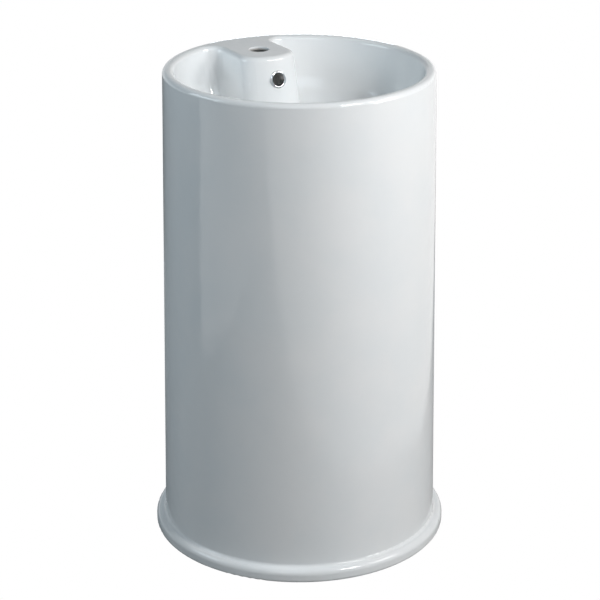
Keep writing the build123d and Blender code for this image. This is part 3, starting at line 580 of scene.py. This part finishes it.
zinc = new_finish("zinc_steel")
cell_inputs = {"Vector": zinc.place(), "Scale": ZINC_CELLS}
cells = zinc.node("TexVoronoi", None, cell_inputs, output="Color")
grey = zinc.node("RGBToBW", None, {"Color": cells})
dull = zinc.noise(ZINC_PATCHES, detail=4).between(*ZINC_PATCH_STEP)
spangle = zinc.mix(grey, *ZINC_SHADES)
paint(
    zinc,
    Base_Color=zinc.mix(dull, spangle, ZINC_DULL_SHADE),
    Metallic=1.0,
    Roughness=ZINC_ROUGHNESS + CELL_ROUGHER * grey + DULL_ROUGHER * dull,
    Normal=zinc.bump(grey * CELL_RELIEF_SHARE + zinc.noise(ZINC_GRAIN), ZINC_RELIEF),
)

# %% [markdown]
# ## White plastic
# Trap, nuts and pipe are white polypropylene. It is waxier than the glaze: broader, weaker
# gloss and light that goes in a little. The mould was spark-eroded, which leaves an even
# fine grain, and handling leaves duller patches.

# %% White plastic
PLASTIC_SHADES = ((0.80, 0.80, 0.775, 1), (0.765, 0.765, 0.735, 1))
PLASTIC_PATCHES = 25
PLASTIC_PATCH_STEP = (0.4, 0.7)
PLASTIC_GRAIN = 1500
PLASTIC_RELIEF = 0.00015
PLASTIC_ROUGHNESS = 0.30
HANDLED_ROUGHER = 0.16

plastic = new_finish("white_polypropylene")
handled = plastic.noise(PLASTIC_PATCHES, detail=4).between(*PLASTIC_PATCH_STEP)
eroded = plastic.noise(PLASTIC_GRAIN, detail=1)
paint(
    plastic,
    Base_Color=plastic.mix(handled, *PLASTIC_SHADES),
    Roughness=PLASTIC_ROUGHNESS + HANDLED_ROUGHER * handled,
    Normal=plastic.bump(eroded, PLASTIC_RELIEF),
    Subsurface_Weight=0.12,
    Subsurface_Scale=0.005,
)

# %% [markdown]
# ## Cover caps
# The caps over the side bolts are made to vanish against the china: glossy white plastic in
# nearly the same tone. Only a slight orange-peel skin and a softer mirror tell them apart.

# %% Cover caps
CAP_SHADES = ((0.79, 0.805, 0.81, 1), (0.81, 0.82, 0.822, 1))
CAP_CLOUDS = 40
CAP_CLOUD_STEP = (0.35, 0.65)
CAP_PEEL = 320
CAP_RELIEF = 0.0001
CAP_ROUGHNESS = 0.13
FAINT_ROUGHER = 0.06

caps = new_finish("glossy_caps")
faint = caps.noise(CAP_CLOUDS, detail=3).between(*CAP_CLOUD_STEP)
peel = caps.noise(CAP_PEEL, detail=1)
paint(
    caps,
    Base_Color=caps.mix(faint, *CAP_SHADES),
    Roughness=CAP_ROUGHNESS + FAINT_ROUGHER * faint,
    Normal=caps.bump(peel, CAP_RELIEF),
)

# %% [markdown]
# ## Put the finishes on
# The record that came with the frame says which material slot each piece belongs to. So the
# finishes are handed out by slot, and a piece that is added later gets the right one too.

# %% Hand out the finishes
finishes = {
    "glaze": glaze,
    "chrome": chrome,
    "rubber": rubber,
    "nylon": nylon,
    "brass": brass,
    "steel": zinc,
    "white_plastic": plastic,
    "cap_plastic": caps,
}
for part in frame["record"]["subparts"]:
    mesh = nodes[part["node"]].data
    mesh.materials.clear()
    mesh.materials.append(finishes[part["material_slot"]].owner)

# %% [markdown]
# ## The spring under the plug
# When the plug is pushed down, its spring goes down with it. A solid moves as one stiff
# thing, so the spring's foot would be driven through the floor of its barrel. A copy of the
# spring takes its place and rides on the plug. The share of its length that would be left
# with the plug fully down is worked out, but the copy is not squashed by it here.

# %% Spring
foot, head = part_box("clicker_spring")
plug_slide = next(joint for joint in frame["joints"] if joint["name"] == "plug_travel")
plug_drop = -plug_slide["range_m"][0]
spring = bpy.data.objects.new("squashed_spring", nodes["clicker_spring"].data.copy())
bpy.context.scene.collection.objects.link(spring)
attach(spring, "plug")
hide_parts("clicker_spring")
share_left = 1 - plug_drop / (head[2] - foot[2])
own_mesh(spring)
print("spring squashed to", round(share_left, 2), "of its length by the plug")
